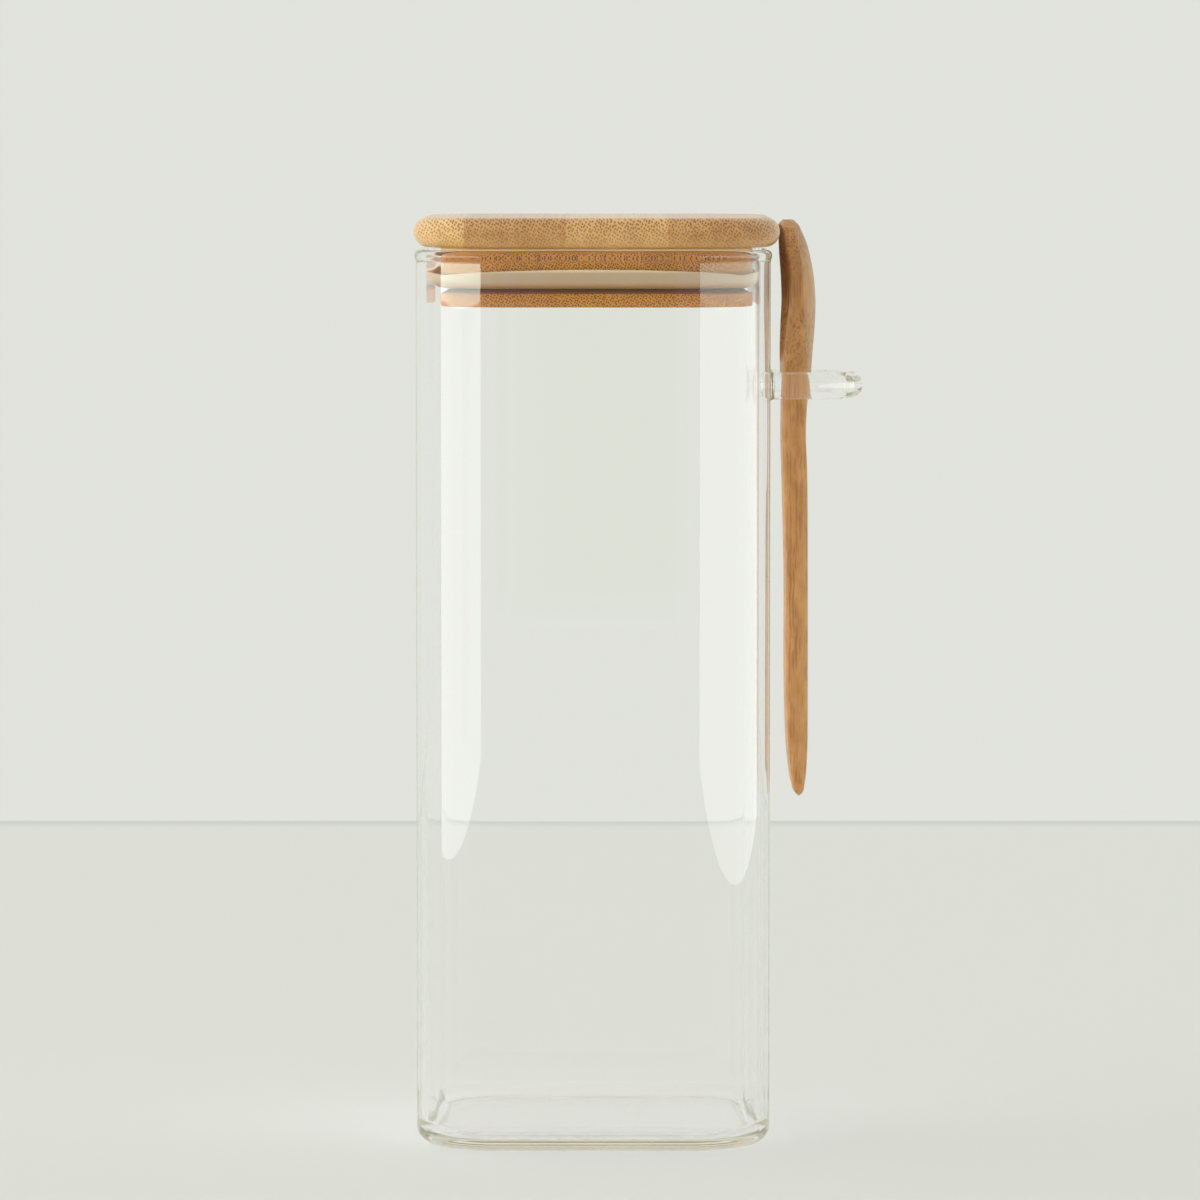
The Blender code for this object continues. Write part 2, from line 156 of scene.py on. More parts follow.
def loftSquare(profile, half, radius, ring, centre=(0.0, 0.0)):
    # The profile's rows are (inset, height). At each row the outline is drawn in by the inset, so
    # its half width and its corner radius both lose it, and the ring is set at the row's height.
    place, way = ring
    inset, height = np.asarray(profile).T
    drawn = (radius - inset)[:, None, None]
    flat = (half - radius) * place[None] + drawn * way[None] + np.asarray(centre)
    level = np.broadcast_to(height[:, None, None], (*flat.shape[:2], 1))
    return np.concatenate([flat, level], axis=2)


def arc(centreInset, centreHeight, size, start, end, steps):
    # points (inset, height) on a circle, with the angle in degrees from the inward direction
    angle = np.radians(np.linspace(start, end, steps + 1))
    return np.stack([
        centreInset + size * np.cos(angle),
        centreHeight + size * np.sin(angle),
    ], axis=1)


# Glass: the vessel and the loop, joined into one skin


vessel = {
    "half": 0.05,  # from the middle to the outer face of a wall
    "cornerRadius": 0.023,
    "wall": 0.0028,
    "floor": 0.0034,  # the pressed base is a little thicker than the wall
    "heel": 0.005,
    "innerHeel": 0.0042,
    "beadHeight": 0.0034,
    "flatMargin": 0.0004,  # a narrow ring beside each round that keeps the flat's shading even
    "baseSpan": 0.0195,  # how far in the flat of the base is carried before its fan
    "ripple": 0.000008,  # height of the faint upright draw lines inside the wall
    "rippleWaves": ((23, 0.0), (37, 1.3)),  # how often each goes round, and its phase
    "cornerSteps": 84,
    "sideSteps": 24,
    "heelSteps": 32,
    "wallSteps": 12,
    "swellSteps": 15,
    "rimSteps": 44,
}


def vesselProfile(height, bead):
    # From the middle of the underside: flat, heel arc, wall, bead, inner wall, inner heel and
    # floor. The bead swells out by bead * (1 - cos(pi * u)) / 2 from its foot to the rim's round.
    wall, heel, floor = vessel["wall"], vessel["heel"], vessel["floor"]
    inner, margin, span = vessel["innerHeel"], vessel["flatMargin"], vessel["baseSpan"]
    rimRound = (wall + bead) / 2
    rimCentre = height - rimRound
    underside = [(span, 0), (heel + margin, 0)]
    heelArc = arc(heel, heel, heel, 270, 180, vessel["heelSteps"])
    beadFoot = height - vessel["beadHeight"]
    wallHeights = np.linspace(heel + margin, beadFoot - margin, vessel["wallSteps"])
    outerWall = np.stack([np.zeros_like(wallHeights), wallHeights], axis=1)
    swell = np.linspace(0, 1, vessel["swellSteps"], endpoint=False)
    outerBead = np.stack([
        -bead * (1 - np.cos(math.pi * swell)) / 2,
        beadFoot + (rimCentre - beadFoot) * swell,
    ], axis=1)
    rim = arc(wall - rimRound, rimCentre, rimRound, 180, 0, vessel["rimSteps"])
    innerHeights = np.linspace(rimCentre - margin, floor + inner + margin, vessel["wallSteps"])
    innerWall = np.stack([np.full_like(innerHeights, wall), innerHeights], axis=1)
    innerArc = arc(wall + inner, floor + inner, inner, 180, 270, vessel["heelSteps"])
    inside = [(wall + inner + margin, floor), (span, floor)]
    return np.concatenate([
        underside, heelArc, outerWall, outerBead, rim, innerWall, innerArc, inside,
    ])


def vesselMesh():
    # The vessel's profile carried round its rounded square. The inner wall has a faint ripple, a
    # sum of sines of the angle round it.
    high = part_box("jar_body")[1]
    half = vessel["half"]
    ring = squareRing(vessel["cornerSteps"], vessel["sideSteps"])
    profile = vesselProfile(high.z, high.x - half)
    grid = loftSquare(profile, half, vessel["cornerRadius"], ring)
    inside = np.isclose(profile[:, 0], vessel["wall"])[:, None]
    around = np.linspace(0, 2 * math.pi, grid.shape[1], endpoint=False)[None]
    waves = sum(np.sin(count * around + phase) for count, phase in vessel["rippleWaves"])
    ripple = vessel["ripple"] * waves * inside
    grid[..., :2] -= ripple[..., None] * ring[1][None]
    return gridMesh("vessel", grid)


rod = {
    "radius": 0.00385,
    "bend": 0.0105,  # radius of the half circle along the rod's middle
    "bendSteps": 90,
    "roundSteps": 96,
    "weldFillet": 0.0016,  # the melted glass spreads this far over the wall
    "weldTurn": 0.93,  # share of the fillet's quarter round that stands clear of the wall
    "weldSteps": 20,
    "rooted": 0.0009,  # the ends go this far into the wall before the two are joined
}


def rodMesh():
    # A circle carried along a U: out along -Y's leg, round a half circle and back along +Y's leg.
    # Near the wall the circle widens as a quarter-round fillet does.
    low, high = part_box("spoon_loop")
    size = rod["radius"]
    height = (low.z + high.z) / 2
    bend = rod["bend"]
    centreX = high.x - size - bend
    fillet = rod["weldFillet"]
    wallFace = vessel["half"]
    turn = np.linspace(0, quarterTurn * rod["weldTurn"], rod["weldSteps"])
    near = wallFace + fillet * (1 - np.sin(turn))[::-1]
    swell = size + fillet * (1 - np.cos(turn))[::-1]
    legX = np.concatenate([[wallFace - rod["rooted"]], near])
    legSize = np.concatenate([[swell[0]], swell])
    angle = np.linspace(-quarterTurn, quarterTurn, rod["bendSteps"] + 1)
    along = np.concatenate([
        np.stack([legX, np.full_like(legX, -bend)], axis=1),
        np.stack([centreX + bend * np.cos(angle), bend * np.sin(angle)], axis=1),
        np.stack([legX, np.full_like(legX, bend)], axis=1)[::-1],
    ])
    outward = np.concatenate([
        np.tile([0.0, -1.0], (len(legX), 1)),
        np.stack([np.cos(angle), np.sin(angle)], axis=1),
        np.tile([0.0, 1.0], (len(legX), 1)),
    ])
    sizes = np.concatenate([legSize, np.full(len(angle), size), legSize[::-1]])[:, None]
    around = np.linspace(0, 2 * math.pi, rod["roundSteps"], endpoint=False)[None]
    side, lift = sizes * np.cos(around), sizes * np.sin(around)
    grid = np.stack([
        along[:, :1] + outward[:, :1] * side,
        along[:, 1:] + outward[:, 1:] * side,
        height + lift,
    ], axis=2)
    return gridMesh("rod", grid)


def joined(first, second):
    # one closed mesh of two that overlap, so that no wall is left inside the glass
    objects = [bpy.data.objects.new(mesh.name, mesh) for mesh in (first, second)]
    for item in objects:
        bpy.context.scene.collection.objects.link(item)
    union = objects[0].modifiers.new("union", "BOOLEAN")
    union.operation = "UNION"
    union.solver = "EXACT"
    union.object = objects[1]
    evaluated = objects[0].evaluated_get(bpy.context.evaluated_depsgraph_get())
    mesh = bpy.data.meshes.new_from_object(evaluated)
    for item in objects:
        bpy.data.objects.remove(item)
    return mesh


glassLook = {
    "drawScale": (90, 90, 6),  # the draw lines are fifteen times as long as they are wide
    "drawStrength": 0.1,
    "drawDepth": 0.00002,
    "ior": 1.47,
    "depthColor": "D6DDA2",
    "depthDensity": 1.1,
}


def borosilicateGlass():
    # Borosilicate glass, blown and fire-polished: colourless on its faces and faintly green where
    # the eye looks along the wall, with mirror-smooth skin.
    material, tree, output = newMaterial("borosilicateGlass")
    place = addNode(tree, "ShaderNodeTexCoord")
    drawn = addNode(tree, "ShaderNodeMapping", {
        "Vector": place.outputs["Object"], "Scale": glassLook["drawScale"],
    })
    waves = addNode(tree, "ShaderNodeTexNoise", {
        "Vector": drawn.outputs[0], "Scale": 1.0, "Detail": 2.0,
    })
    bump = addNode(tree, "ShaderNodeBump", {
        "Height": waves.outputs[0],
        "Strength": glassLook["drawStrength"],
        "Distance": glassLook["drawDepth"],
    })
    shader = addNode(tree, "ShaderNodeBsdfPrincipled", {
        "Base Color": hexColor("FFFFFF"),
        "Roughness": 0.0,
        "IOR": glassLook["ior"],
        "Transmission Weight": 1.0,
        "Normal": bump.outputs[0],
    })
    tree.links.new(shader.outputs[0], output.inputs["Surface"])
    depth = addNode(tree, "ShaderNodeVolumeAbsorption", {
        "Color": hexColor(glassLook["depthColor"]), "Density": glassLook["depthDensity"],
    })
    tree.links.new(depth.outputs[0], output.inputs["Volume"])
    return material


glassMesh = joined(vesselMesh(), rodMesh())
glassPiece = addPiece(
    "glass_vessel", glassMesh, borosilicateGlass(), "jar", ["jar_body", "spoon_loop"],
)
glassPiece.visible_shadow = False  # clear glass throws hardly any shade


# Bamboo: the lid's cap and the two plies of its plug


def heightBand(tree, height, foot, full, ebb, top):
    # 0 below foot and above top, 1 between full and ebb, with smooth steps in between
    rise = addNode(tree, "ShaderNodeMapRange", {
        "Value": height, "From Min": foot, "From Max": full,
    }, interpolation_type="SMOOTHSTEP")
    fall = addNode(tree, "ShaderNodeMapRange", {
        "Value": height, "From Min": ebb, "From Max": top, "To Min": 1.0, "To Max": 0.0,
    }, interpolation_type="SMOOTHSTEP")
    return addNode(tree, "ShaderNodeMath", {
        0: rise.outputs[0], 1: fall.outputs[0],
    }, operation="MULTIPLY").outputs[0]


bamboo = {
    "rowSlant": math.radians(28),  # the rows of bundles climb at this angle
    "patchScale": 2.3,
    "patchRange": (0.35, 0.65),  # noise levels between which the light tone turns to the deep one
    "pithAndLightReach": 0.45,  # share of a board's depth that the paler tone takes up: pith and painted light
    "fineAcross": 2600,  # waves of the fine grain per metre
    "fineAlong": 40,
    "grainRange": (0.35, 0.75),
    "endShare": 0.5,  # from this much of the normal along the fibres, the dots show in full
    "speckJitter": 0.6,
    "smoother": 0.06,  # how far the grain lowers the roughness, and raises it
    "rougher": 0.08,
    "dotRelief": 0.6,
    "reliefStrength": 0.35,
    "reliefDepth": 0.00004,
    "coatRoughness": 0.22,
}


def bambooMaterial(name, look):
    # Solid bamboo. Across the fibres it shows the dark ends of the fibre bundles as dots, and along
    # them long streaks. fibre names the axis that the bundles follow.
    material, tree, output = newMaterial(name)
    place = addNode(tree, "ShaderNodeTexCoord")
    long, short = look["longWave"], look["shortWave"]
    stretch = {
        "Y": (1 / short, 1 / long, 1 / short),
        "Z": (1 / short, 1 / short, 1 / long),
    }[look["fibre"]]
    drift = addNode(tree, "ShaderNodeVectorMath", {
        0: place.outputs["Object"], 1: stretch,
    }, operation="MULTIPLY")
    wander = addNode(tree, "ShaderNodeTexNoise", {
        "Vector": drift.outputs[0], "Scale": 1.0, "Detail": 3.0,
    })
    centred = addNode(tree, "ShaderNodeVectorMath", {
        0: wander.outputs["Color"], 1: (0.5, 0.5, 0.5),
    }, operation="SUBTRACT")
    bent = addNode(tree, "ShaderNodeVectorMath", {
        0: centred.outputs[0], 1: (look["wander"],) * 3, 2: place.outputs["Object"],
    }, operation="MULTIPLY_ADD")
    axes = addNode(tree, "ShaderNodeSeparateXYZ", {0: bent.outputs[0]})
    across, along = {"Y": ("X", "Z"), "Z": ("X", "Y")}[look["fibre"]]

    # boards: each strip of bamboo has its own tone and its own pattern of bundles
    straight = addNode(tree, "ShaderNodeSeparateXYZ", {0: place.outputs["Object"]})
    shifted = addNode(tree, "ShaderNodeMath", {
        0: straight.outputs["X"], 1: 1 / look["stripWidth"], 2: look["stripShift"],
    }, operation="MULTIPLY_ADD")
    strip = addNode(tree, "ShaderNodeMath", {0: shifted.outputs[0]}, operation="FLOOR")
    tone = addNode(tree, "ShaderNodeTexWhiteNoise", {
        "W": strip.outputs[0],
    }, noise_dimensions="1D")

    # bundles: oval cells across the fibres, in slanting rows, drawn out without end along them
    plane = addNode(tree, "ShaderNodeCombineXYZ", {
        0: axes.outputs[across], 1: axes.outputs[along], 2: 0.0,
    })
    cells = addNode(tree, "ShaderNodeVectorMath", {
        0: plane.outputs[0],
        1: (1 / look["cellWide"], 1 / look["cellHigh"], 1.0),
        2: tone.outputs["Color"],
    }, operation="MULTIPLY_ADD")
    slanted = addNode(tree, "ShaderNodeVectorRotate", {
        "Vector": cells.outputs[0], "Angle": bamboo["rowSlant"],
    }, rotation_type="Z_AXIS")
    bundles = addNode(tree, "ShaderNodeTexVoronoi", {
        "Vector": slanted.outputs[0], "Scale": 1.0, "Randomness": look["jitter"],
    }, voronoi_dimensions="2D")

    # The bundles are thicker and darker towards the culm's skin, which is a board's top and the
    # spoon's hollow side.
    depth = addNode(tree, "ShaderNodeMapRange", {
        "Value": straight.outputs[look["denseAxis"]],
        "From Min": look["sparseAt"], "From Max": look["denseAt"],
    })
    patches = addNode(tree, "ShaderNodeTexNoise", {
        "Vector": drift.outputs[0], "Scale": bamboo["patchScale"], "Detail": 4.0,
    })
    sizeByDepth = addNode(tree, "ShaderNodeMath", {
        0: depth.outputs[0], 1: look["dotGrowth"], 2: look["dotSize"],
    }, operation="MULTIPLY_ADD")
    sizeByPatch = addNode(tree, "ShaderNodeMath", {
        0: patches.outputs[0], 1: look["dotPatch"], 2: sizeByDepth.outputs[0],
    }, operation="MULTIPLY_ADD")
    past = addNode(tree, "ShaderNodeMath", {
        0: sizeByPatch.outputs[0], 1: bundles.outputs["Distance"],
    }, operation="SUBTRACT")
    dots = addNode(tree, "ShaderNodeMapRange", {
        "Value": past.outputs[0], "From Min": -look["dotSoft"], "From Max": look["dotSoft"],
    }, interpolation_type="SMOOTHSTEP")

    # ground tissue: fine fibre grain, slow patches of tone, and a paler tone towards the pith,
    # partly painted light
    fineAcross, fineAlong = bamboo["fineAcross"], bamboo["fineAlong"]
    fineStretch = {
        "Y": (fineAcross, fineAlong, fineAcross),
        "Z": (fineAcross, fineAcross, fineAlong),
    }[look["fibre"]]
    fine = addNode(tree, "ShaderNodeVectorMath", {
        0: bent.outputs[0], 1: fineStretch,
    }, operation="MULTIPLY")
    grain = addNode(tree, "ShaderNodeTexNoise", {
        "Vector": fine.outputs[0], "Scale": 1.0, "Detail": 2.0,
    })
    patchLow, patchHigh = bamboo["patchRange"]
    toneMix = addNode(tree, "ShaderNodeMath", {
        0: tone.outputs["Value"], 1: look["stripTone"], 2: patches.outputs[0],
    }, operation="MULTIPLY_ADD")
    toneShare = addNode(tree, "ShaderNodeMapRange", {
        "Value": toneMix.outputs[0],
        "From Min": patchLow, "From Max": patchHigh + look["stripTone"],
    })
    layered = addNode(tree, "ShaderNodeMix", {
        "Factor": toneShare.outputs[0],
        "A": hexColor(look["light"]), "B": hexColor(look["deep"]),
    }, data_type="RGBA")
    # painted light: the pith's paler tone also brightens the cap's lower part and the spoon's back
    pithAndLightMix = addNode(tree, "ShaderNodeMapRange", {
        "Value": depth.outputs[0], "From Max": bamboo["pithAndLightReach"],
        "To Min": look["pithAndLightShare"], "To Max": 0.0,
    })
    ground = addNode(tree, "ShaderNodeMix", {
        "Factor": pithAndLightMix.outputs[0],
        "A": layered.outputs["Result"], "B": hexColor(look["pithAndLight"]),
    }, data_type="RGBA")
    grainLow, grainHigh = bamboo["grainRange"]
    grainShare = addNode(tree, "ShaderNodeMapRange", {
        "Value": grain.outputs[0],
        "From Min": grainLow, "From Max": grainHigh, "To Max": look["grain"],
    })
    grained = addNode(tree, "ShaderNodeMix", {
        "Factor": grainShare.outputs[0],
        "A": ground.outputs["Result"], "B": hexColor(look["bundle"]),
    }, data_type="RGBA")
    fade = addNode(tree, "ShaderNodeMapRange", {
        "Value": depth.outputs[0], "To Min": look["dotFade"], "To Max": look["dotStrength"],
    })
    facing = addNode(tree, "ShaderNodeSeparateXYZ", {0: place.outputs["Normal"]})
    endwise = addNode(tree, "ShaderNodeMath", {
        0: facing.outputs[look["fibre"]],
    }, operation="ABSOLUTE")
    shown = addNode(tree, "ShaderNodeMapRange", {
        "Value": endwise.outputs[0], "From Max": bamboo["endShare"], "To Min": look["streak"],
    })
    faded = addNode(tree, "ShaderNodeMath", {
        0: fade.outputs[0], 1: shown.outputs[0],
    }, operation="MULTIPLY")
    strength = addNode(tree, "ShaderNodeMath", {
        0: dots.outputs[0], 1: faded.outputs[0],
    }, operation="MULTIPLY")
    dotted = addNode(tree, "ShaderNodeMix", {
        "Factor": strength.outputs[0],
        "A": grained.outputs["Result"], "B": hexColor(look["bundle"]),
    }, data_type="RGBA")

    # level bands of the look's own, which paint light or shade at set heights: (colour, share,
    # foot, full, ebb, top)
    finish = dotted.outputs["Result"]
    for tint, share, *heights in look["lightAndShadeBands"]:
        band = addNode(tree, "ShaderNodeMath", {
            0: heightBand(tree, straight.outputs["Z"], *heights), 1: share,
        }, operation="MULTIPLY")
        finish = addNode(tree, "ShaderNodeMix", {
            "Factor": band.outputs[0], "A": finish, "B": hexColor(tint),
        }, data_type="RGBA").outputs["Result"]

    # specks: the round ends of bundles where the surface cuts across them, as (foot, full, ebb,
    # top, spacing, size as a share of the spacing, strength)
    for *heights, spacing, size, weight in look["specks"]:
        grid = addNode(tree, "ShaderNodeTexVoronoi", {
            "Vector": place.outputs["Object"],
            "Scale": 1 / spacing,
            "Randomness": bamboo["speckJitter"],
        })
        speck = addNode(tree, "ShaderNodeMapRange", {
            "Value": grid.outputs["Distance"], "From Min": size / 2, "From Max": size,
            "To Min": weight, "To Max": 0.0,
        }, interpolation_type="SMOOTHSTEP")
        laid = addNode(tree, "ShaderNodeMath", {
            0: speck.outputs[0], 1: heightBand(tree, straight.outputs["Z"], *heights),
        }, operation="MULTIPLY")
        finish = addNode(tree, "ShaderNodeMix", {
            "Factor": laid.outputs[0], "A": finish, "B": hexColor(look["bundle"]),
        }, data_type="RGBA").outputs["Result"]
    rough = addNode(tree, "ShaderNodeMapRange", {
        "Value": grain.outputs[0],
        "To Min": look["roughness"] - bamboo["smoother"],
        "To Max": look["roughness"] + bamboo["rougher"],
    })
    relief = addNode(tree, "ShaderNodeMath", {
        0: dots.outputs[0], 1: bamboo["dotRelief"], 2: grain.outputs[0],
    }, operation="MULTIPLY_ADD")
    bump = addNode(tree, "ShaderNodeBump", {
        "Height": relief.outputs[0],
        "Strength": bamboo["reliefStrength"],
        "Distance": bamboo["reliefDepth"],
    }, invert=True)
    shader = addNode(tree, "ShaderNodeBsdfPrincipled", {
        "Base Color": finish,
        "Roughness": rough.outputs[0],
        "IOR": 1.5,
        "Specular IOR Level": look["gloss"],
        "Coat Weight": look["varnish"],
        "Coat Roughness": bamboo["coatRoughness"],
        "Normal": bump.outputs[0],
    })
    tree.links.new(shader.outputs[0], output.inputs[0])
    return material


lidLook = {
    "fibre": "Y",
    "longWave": 0.09, "shortWave": 0.010, "wander": 0.0005,
    "stripWidth": 0.0285, "stripShift": -341.737,  # the joints show at x = -36, -7.5 and 21 mm
    "cellWide": 0.00078, "cellHigh": 0.00096, "jitter": 0.55,
    "denseAxis": "Z", "sparseAt": 0.2537, "denseAt": 0.2621,
    "dotSize": 0.21, "dotGrowth": 0.08, "dotPatch": 0.10, "dotSoft": 0.07,
    "dotStrength": 0.90, "dotFade": 0.35,
    "stripTone": 1.0, "grain": 0.10, "streak": 0.25,
    "roughness": 0.42, "gloss": 0.5, "varnish": 0.8,
    "light": "F0BE76", "deep": "B16D1C", "bundle": "744620",
    "pithAndLight": "F4BC60", "pithAndLightShare": 0.3,  # the cap's lower part is paler: partly the wood by the culm's hollow, partly painted light
    "lightAndShadeBands": (),
    "specks": (),
}
plugLook = {
    **lidLook,
    "stripShift": 1.51, "cellWide": 0.00072, "cellHigh": 0.00078,
    "sparseAt": 0.2335, "denseAt": 0.2535,
    "dotSize": 0.22, "dotGrowth": 0.04, "dotFade": 0.9,
    "stripTone": 0.6, "gloss": 0.15, "varnish": 0.0,
    "light": "E89E34", "deep": "D08828", "bundle": "6A3A0C", "pithAndLightShare": 0.0,
    # painted light: the crown is painted pale where it shows in the narrow, shaded gap under the
    # cap
    "lightAndShadeBands": (("FFE2AC", 1.0, 0.2527, 0.2529, 0.9, 1.0),),
}
lowerLook = {
    **plugLook,
    "stripShift": 7.37, "light": "D99034", "deep": "BD7827", "bundle": "582A0A",
    # painted shadow: the shoulder under the seal's lip is painted dark brown
    "lightAndShadeBands": (("8A4208", 1.0, 0.24085, 0.2411, 0.2424, 0.2432),),
}


board = {
    "cornerSteps": 24,
    "sideSteps": 16,
    "noseSteps": 18,
    "edgeSteps": 5,
    "edgeRound": 0.0005,
    "flatMargin": 0.0006,
    "groove": 0.005,
    "shoulderWidth": 0.0022,
    "shoulderRise": 0.001,
    "upperLand": 0.0072,
    "lowerLand": 0.0038,
    "glueFill": 0.00025,  # the glue that fills the joint under the cap, as wood
    "capCorner": 0.0246,
    "plugCorner": 0.018,
    "capSpan": 0.0206,  # how far in the flats are carried before their fans
    "plugSpan": 0.015,
}


def capMesh():
    # a half circle for the nose between the two flats, carried round the cap's rounded square
    low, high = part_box("lid_cap")
    thick = high.z - low.z
    nose = thick / 2
    span, margin = board["capSpan"], board["flatMargin"]
    profile = np.concatenate([
        [(span, low.z), (nose + margin, low.z)],
        arc(nose, low.z + nose, nose, 270, 90, board["noseSteps"]),
        [(nose + margin, high.z), (span, high.z)],
    ])
    centre = ((low.x + high.x) / 2, (low.y + high.y) / 2)
    ring = squareRing(board["cornerSteps"], board["sideSteps"])
    half = (high.x - low.x) / 2
    return gridMesh("cap", loftSquare(profile, half, board["capCorner"], ring, centre))


def plyMesh(node, upper):
    # A ply in section: a waist that the seal's foot stands against and a land of full width. The
    # lower ply's land slopes up to its waist.
    low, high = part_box(node)
    groove, edge, margin = board["groove"], board["edgeRound"], board["flatMargin"]
    span, steps = board["plugSpan"], board["edgeSteps"]
    if upper:
        ceiling = high.z - board["upperLand"]
        crown = high.z + board["glueFill"]
        profile = np.concatenate([
            [(span, low.z), (groove + margin, low.z), (groove, low.z), (groove, low.z + margin)],
            [(groove, ceiling - margin), (groove, ceiling), (groove - margin, ceiling)],
            [(edge + margin, ceiling)],
            arc(edge, ceiling + edge, edge, 270, 180, steps),
            arc(edge, crown - edge, edge, 180, 90, steps),
            [(edge + margin, crown), (span, crown)],
        ])
    else:
        brink = low.z + board["lowerLand"]
        crest = brink + board["shoulderRise"]
        profile = np.concatenate([
            [(span, low.z), (edge + margin, low.z)],
            arc(edge, low.z + edge, edge, 270, 180, steps),
            [(0, brink - edge / 2), (edge / 4, brink), (board["shoulderWidth"], crest)],
            [(groove - margin, crest), (groove, crest), (groove, crest + margin)],
            [(groove, high.z - margin), (groove, high.z)],
            [(groove + margin, high.z), (span, high.z)],
        ])
    centre = ((low.x + high.x) / 2, (low.y + high.y) / 2)
    ring = squareRing(board["cornerSteps"], board["sideSteps"])
    half = (high.x - low.x) / 2
    return gridMesh(node, loftSquare(profile, half, board["plugCorner"], ring, centre))


capBamboo = bambooMaterial("naturalBambooBoard", lidLook)
plugBamboo = bambooMaterial("carbonisedBambooBoard", plugLook)
lowerBamboo = bambooMaterial("darkCarbonisedBamboo", lowerLook)
addPiece("bamboo_cap", capMesh(), capBamboo, "lid", ["lid_cap"])
addPiece(
    "bamboo_plug_upper", plyMesh("plug_upper", True), plugBamboo,
    "lid", ["plug_upper"],
)
addPiece(
    "bamboo_plug_lower", plyMesh("plug_lower", False), lowerBamboo,
    "lid", ["plug_lower"],
)


# Seal: the silicone ring between the plies


seal = {
    "foot": 0.0026,
    "lip": 0.0011,
    "lipStart": 0.36,  # share of the reach where the lip leaves the foot
    "lipTurn": 1.05,  # share of the groove's height where it stands upright
    "bow": 0.0016,  # how much lower the lip is at the corners
    "gap": 0.0003,  # between the foot and the groove
    "footCorner": 0.0133,
    "lipCorner": 0.0199,
    "cornerSteps": 26,
    "sideSteps": 36,
    "lipSteps": 14,
    "tipSteps": 8,
    "climbSteps": 6,
}


def sealMesh():
    # The section's rows are (distance out from the foot's back, height). The foot stands in the
    # groove, and the lip leaves it, turns up along a quarter ellipse and comes back as a second
    # ellipse inside the first. Its outer rows are centred on the glass and its inner ones on the
    # plug, and the lip is lower at the corners by bow * (short side / long side) ** 2.
    low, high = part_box("seal_ring")
    plugLow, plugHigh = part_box("plug_lower")
    gap = seal["gap"]
    shift = (plugLow.x + plugHigh.x) / 2
    footHalf = (plugHigh.x - plugLow.x) / 2 - board["groove"] + gap
    reach = high.x - footHalf
    base = low.z
    grooveFloor = base - gap
    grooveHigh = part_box("plug_upper")[1].z - board["upperLand"] - grooveFloor
    turnUp, top = grooveFloor + grooveHigh * seal["lipTurn"], high.z
    start, lip, foot = reach * seal["lipStart"], seal["lip"], seal["foot"]
    angle = np.linspace(0, quarterTurn, seal["lipSteps"] + 1)
    outer = np.stack([
        start + (reach - start) * np.sin(angle),
        turnUp - (turnUp - base) * np.cos(angle),
    ], axis=1)
    inner = np.stack([
        start + (reach - lip - start) * np.sin(angle),
        turnUp - (turnUp - base - lip) * np.cos(angle),
    ], axis=1)[::-1]
    tip = arc(reach - lip / 2, top - lip / 2, lip / 2, 0, 180, seal["tipSteps"])
    climb = np.linspace(turnUp, top - lip / 2, seal["climbSteps"])[1:-1]
    outerFace = np.stack([np.full_like(climb, reach), climb], axis=1)
    innerFace = np.stack([np.full_like(climb, reach - lip), climb[::-1]], axis=1)
    footTop = grooveFloor + grooveHigh - gap
    footRows = [(foot, base + lip), (foot, footTop), (0, footTop), (0, base)]
    section = np.concatenate([outer, outerFace, tip, innerFace, inner, footRows])
    out, height = section[:, 0], section[:, 1]
    follow = np.clip((out - foot) / (reach - lip - foot), 0, 1)
    widening = seal["lipCorner"] - seal["footCorner"]
    corner = (seal["footCorner"] + widening * out / reach)[:, None, None]
    half = (footHalf + out)[:, None, None]
    place, way = squareRing(seal["cornerSteps"], seal["sideSteps"])
    flat = (half - corner) * place[None] + corner * way[None]
    spread = np.abs(flat)
    towardsCorner = (spread.min(axis=2) / spread.max(axis=2)) ** 2
    lift = follow * np.clip((height - base - lip) / (top - base - lip), 0, 1)
    level = height[:, None] - seal["bow"] * lift[:, None] * towardsCorner
    flat[..., 0] += (shift * (1 - follow))[:, None]
    return gridMesh("seal", np.concatenate([flat, level[..., None]], axis=2), closed=True)


silicone = {
    "milk": ("BEA78A", "B2997C"),
    "cloudScale": 60.0,
    # browner foot: partly the wood below seen through the silicone, partly painted shade
    "woodAndShade": "B4732C",
    "woodAndShadeHeights": (0.2422, 0.2444),
    # painted highlight: a paler brim along the lip's top
    "brimHighlight": "DCCBAE",
    "brimHighlightHeights": (0.2466, 0.2475),
    "skinScale": 1800.0,
    "skinStrength": 0.15,
    "skinDepth": 0.00003,
    "scatter": (0.9, 0.6, 0.35),
    "scatterScale": 0.002,
}


